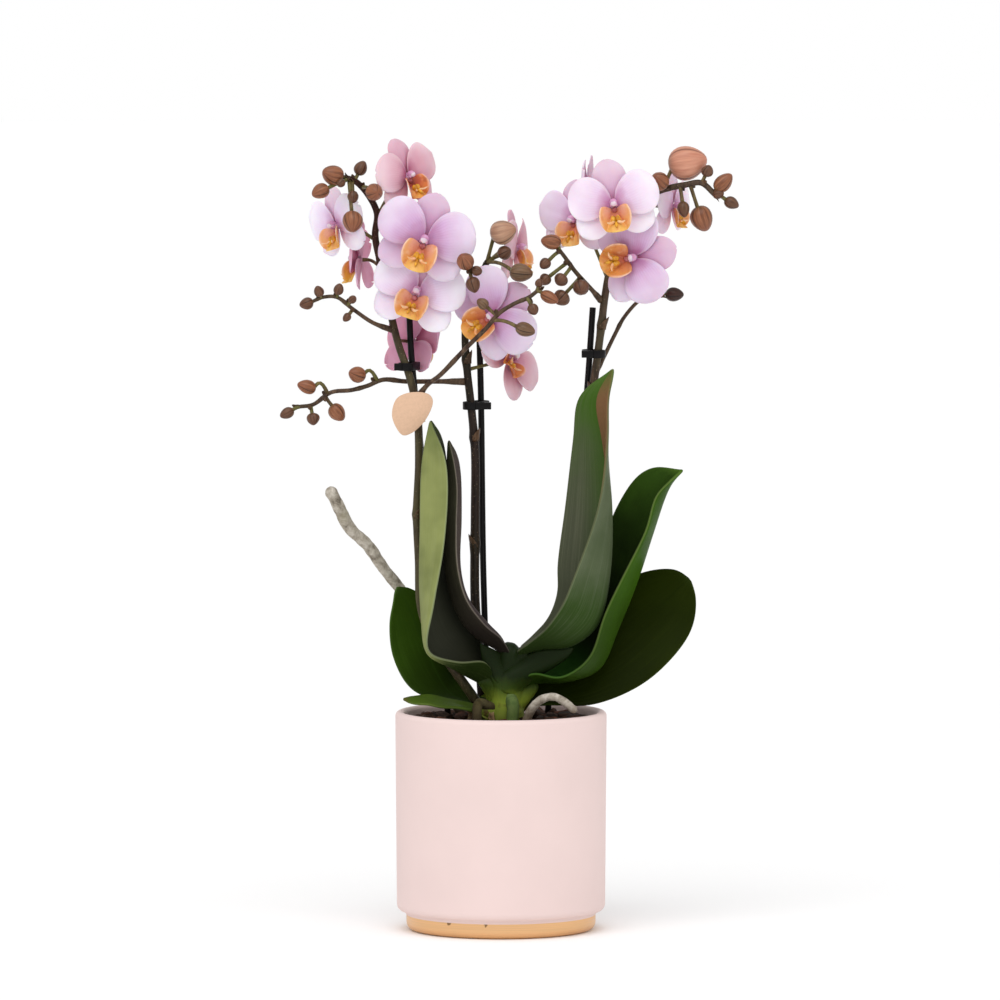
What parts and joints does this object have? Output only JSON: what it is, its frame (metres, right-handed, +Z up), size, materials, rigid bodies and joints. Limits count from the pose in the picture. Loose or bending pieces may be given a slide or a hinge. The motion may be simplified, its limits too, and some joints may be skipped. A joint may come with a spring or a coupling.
{
  "type": "potted moth orchid",
  "caption": "Moth orchid in bloom with upright leaves and three staked flower spikes, growing from bark in a clear liner inside a pink ceramic pot with a gilt foot.",
  "frame": {"origin": "middle of the flat underside of the ceramic pot's foot", "axes": "+Z up along the pot's axis, -Y towards the side that the picture shows, +X to that view's right"},
  "size_m": [0.2286, 0.106, 0.3973],
  "materials": {
    "pot": "matt pale pink, with a satin gilt foot",
    "liner": "clear",
    "bark": "rough dark bark chips",
    "crown": "smooth yellow-green sheaths",
    "leaf": "waxy dark green, paler and matt underneath",
    "root": "silver-grey, rough",
    "stem": "dark brown-green, satin, with bronze buds",
    "stake": "black",
    "tag": "peach, bare",
    "petal": "soft lilac-pink, deeper towards the middle",
    "lip": "orange-yellow with red spots"
  },
  "bodies": {
    "root": {"pot": "pot", "grow_pot": "liner", "bark": "bark", "crown": "crown", "tag": "tag", "root_aerial": "root", "root_front": "root", "leaf_left_tall": "leaf", "leaf_left_inner": "leaf", "leaf_left_broad": "leaf", "leaf_left_small": "leaf", "leaf_right_tall": "leaf", "leaf_right_trough": "leaf", "leaf_right_round": "leaf", "spike_left": "stem", "stake_left": "stake", "clip_left": "stake", "spike_mid": "stem", "stake_mid": "stake", "clip_mid": "stake", "spike_right": "stem", "stake_right": "stake", "clip_right": "stake", "bloom_01_petals": "petal", "bloom_01_lip": "lip", "bloom_02_petals": "petal", "bloom_02_lip": "lip", "bloom_03_petals": "petal", "bloom_03_lip": "lip", "bloom_04_petals": "petal", "bloom_04_lip": "lip", "bloom_05_petals": "petal", "bloom_05_lip": "lip", "bloom_06_petals": "petal", "bloom_06_lip": "lip", "bloom_07_petals": "petal", "bloom_07_lip": "lip", "bloom_08_petals": "petal", "bloom_08_lip": "lip", "bloom_09_petals": "petal", "bloom_09_lip": "lip", "bloom_10_petals": "petal", "bloom_10_lip": "lip", "bloom_11_petals": "petal", "bloom_11_lip": "lip", "bloom_12_petals": "petal", "bloom_12_lip": "lip", "bloom_13_petals": "petal", "bloom_13_lip": "lip", "bloom_14_petals": "petal", "bloom_14_lip": "lip"}
  },
  "joints": []
}
